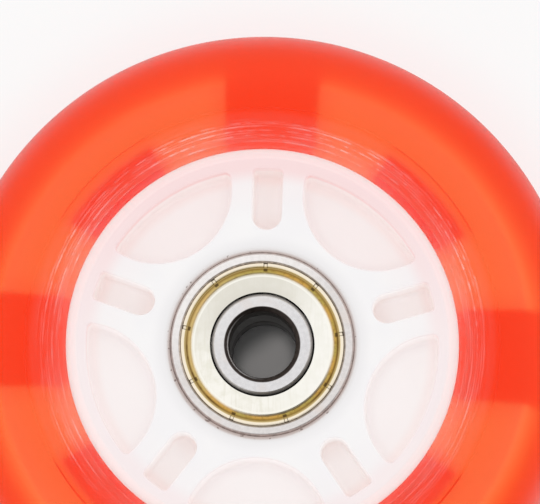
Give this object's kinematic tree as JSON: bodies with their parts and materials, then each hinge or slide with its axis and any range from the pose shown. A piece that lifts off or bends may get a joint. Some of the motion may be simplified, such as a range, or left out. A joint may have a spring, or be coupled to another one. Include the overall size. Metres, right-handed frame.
{
  "type": "inline skate wheel",
  "caption": "Inline skate wheel: clear red urethane tyre with a round tread on a white spoked nylon core, with a shielded ball bearing pressed into each face.",
  "frame": {"origin": "the wheel's centre: on the spin axis, midway between the two hub faces", "axes": "+Z along the spin axis, out of the pictured face, so the wheel lies on its side as pictured; +Y is the picture's up, +X its right"},
  "size_m": [0.076, 0.076, 0.0242],
  "materials": {
    "urethane": "clear red-orange cast polyurethane, glossy tread, finely turned shoulders",
    "nylon": "white moulded nylon, satin",
    "ring_steel": "ground bearing steel",
    "shield_plate": "pressed sheet, yellow passivated zinc",
    "cage_steel": "pressed steel strip",
    "ball_steel": "lapped bearing steel",
    "spacer": "turned tube"
  },
  "bodies": {
    "axle_set": {"axle_spacer": "spacer", "front_inner_ring": "ring_steel", "rear_inner_ring": "ring_steel"},
    "wheel": {"tyre": "urethane", "hub_core": "nylon", "front_outer_ring": "ring_steel", "front_outside_shield": "shield_plate", "front_inside_shield": "shield_plate", "rear_outer_ring": "ring_steel", "rear_outside_shield": "shield_plate", "rear_inside_shield": "shield_plate"},
    "front_cage": {"front_cage_outside_half": "cage_steel", "front_cage_inside_half": "cage_steel", "front_cage_rivets": "cage_steel"},
    "rear_cage": {"rear_cage_outside_half": "cage_steel", "rear_cage_inside_half": "cage_steel", "rear_cage_rivets": "cage_steel"},
    "front_ball_1": {"front_ball_1": "ball_steel"},
    "front_ball_2": {"front_ball_2": "ball_steel"},
    "front_ball_3": {"front_ball_3": "ball_steel"},
    "front_ball_4": {"front_ball_4": "ball_steel"},
    "front_ball_5": {"front_ball_5": "ball_steel"},
    "front_ball_6": {"front_ball_6": "ball_steel"},
    "front_ball_7": {"front_ball_7": "ball_steel"},
    "rear_ball_1": {"rear_ball_1": "ball_steel"},
    "rear_ball_2": {"rear_ball_2": "ball_steel"},
    "rear_ball_3": {"rear_ball_3": "ball_steel"},
    "rear_ball_4": {"rear_ball_4": "ball_steel"},
    "rear_ball_5": {"rear_ball_5": "ball_steel"},
    "rear_ball_6": {"rear_ball_6": "ball_steel"},
    "rear_ball_7": {"rear_ball_7": "ball_steel"}
  },
  "joints": [
    {"name": "wheel_spin", "type": "hinge", "parent": "axle_set", "child": "wheel", "pos_m": [0, 0, 0], "axis": [0, 0, 1], "continuous": true},
    {"name": "front_cage_orbit", "type": "hinge", "parent": "axle_set", "child": "front_cage", "pos_m": [0, 0, 0.0085], "axis": [0, 0, 1], "continuous": true},
    {"name": "rear_cage_orbit", "type": "hinge", "parent": "axle_set", "child": "rear_cage", "pos_m": [0, 0, -0.0085], "axis": [0, 0, 1], "continuous": true},
    {"name": "front_ball_1_roll", "type": "hinge", "parent": "front_cage", "child": "front_ball_1", "pos_m": [0.00468, 0.00586, 0.0085], "axis": [0, 0, 1], "continuous": true},
    {"name": "front_ball_2_roll", "type": "hinge", "parent": "front_cage", "child": "front_ball_2", "pos_m": [-0.00167, 0.00731, 0.0085], "axis": [0, 0, 1], "continuous": true},
    {"name": "front_ball_3_roll", "type": "hinge", "parent": "front_cage", "child": "front_ball_3", "pos_m": [-0.00676, 0.00325, 0.0085], "axis": [0, 0, 1], "continuous": true},
    {"name": "front_ball_4_roll", "type": "hinge", "parent": "front_cage", "child": "front_ball_4", "pos_m": [-0.00676, -0.00325, 0.0085], "axis": [0, 0, 1], "continuous": true},
    {"name": "front_ball_5_roll", "type": "hinge", "parent": "front_cage", "child": "front_ball_5", "pos_m": [-0.00167, -0.00731, 0.0085], "axis": [0, 0, 1], "continuous": true},
    {"name": "front_ball_6_roll", "type": "hinge", "parent": "front_cage", "child": "front_ball_6", "pos_m": [0.00468, -0.00586, 0.0085], "axis": [0, 0, 1], "continuous": true},
    {"name": "front_ball_7_roll", "type": "hinge", "parent": "front_cage", "child": "front_ball_7", "pos_m": [0.0075, 0, 0.0085], "axis": [0, 0, 1], "continuous": true},
    {"name": "rear_ball_1_roll", "type": "hinge", "parent": "rear_cage", "child": "rear_ball_1", "pos_m": [0.00468, -0.00586, -0.0085], "axis": [0, 0, 1], "continuous": true},
    {"name": "rear_ball_2_roll", "type": "hinge", "parent": "rear_cage", "child": "rear_ball_2", "pos_m": [-0.00167, -0.00731, -0.0085], "axis": [0, 0, 1], "continuous": true},
    {"name": "rear_ball_3_roll", "type": "hinge", "parent": "rear_cage", "child": "rear_ball_3", "pos_m": [-0.00676, -0.00325, -0.0085], "axis": [0, 0, 1], "continuous": true},
    {"name": "rear_ball_4_roll", "type": "hinge", "parent": "rear_cage", "child": "rear_ball_4", "pos_m": [-0.00676, 0.00325, -0.0085], "axis": [0, 0, 1], "continuous": true},
    {"name": "rear_ball_5_roll", "type": "hinge", "parent": "rear_cage", "child": "rear_ball_5", "pos_m": [-0.00167, 0.00731, -0.0085], "axis": [0, 0, 1], "continuous": true},
    {"name": "rear_ball_6_roll", "type": "hinge", "parent": "rear_cage", "child": "rear_ball_6", "pos_m": [0.00468, 0.00586, -0.0085], "axis": [0, 0, 1], "continuous": true},
    {"name": "rear_ball_7_roll", "type": "hinge", "parent": "rear_cage", "child": "rear_ball_7", "pos_m": [0.0075, 0, -0.0085], "axis": [0, 0, 1], "continuous": true}
  ],
  "couplings": [
    {"joint": "front_cage_orbit", "follows": "wheel_spin", "ratio": 0.6323},
    {"joint": "rear_cage_orbit", "follows": "wheel_spin", "ratio": 0.6323},
    {"joint": "front_ball_1_roll", "follows": "wheel_spin", "ratio": 1.7573},
    {"joint": "front_ball_2_roll", "follows": "wheel_spin", "ratio": 1.7573},
    {"joint": "front_ball_3_roll", "follows": "wheel_spin", "ratio": 1.7573},
    {"joint": "front_ball_4_roll", "follows": "wheel_spin", "ratio": 1.7573},
    {"joint": "front_ball_5_roll", "follows": "wheel_spin", "ratio": 1.7573},
    {"joint": "front_ball_6_roll", "follows": "wheel_spin", "ratio": 1.7573},
    {"joint": "front_ball_7_roll", "follows": "wheel_spin", "ratio": 1.7573},
    {"joint": "rear_ball_1_roll", "follows": "wheel_spin", "ratio": 1.7573},
    {"joint": "rear_ball_2_roll", "follows": "wheel_spin", "ratio": 1.7573},
    {"joint": "rear_ball_3_roll", "follows": "wheel_spin", "ratio": 1.7573},
    {"joint": "rear_ball_4_roll", "follows": "wheel_spin", "ratio": 1.7573},
    {"joint": "rear_ball_5_roll", "follows": "wheel_spin", "ratio": 1.7573},
    {"joint": "rear_ball_6_roll", "follows": "wheel_spin", "ratio": 1.7573},
    {"joint": "rear_ball_7_roll", "follows": "wheel_spin", "ratio": 1.7573}
  ]
}
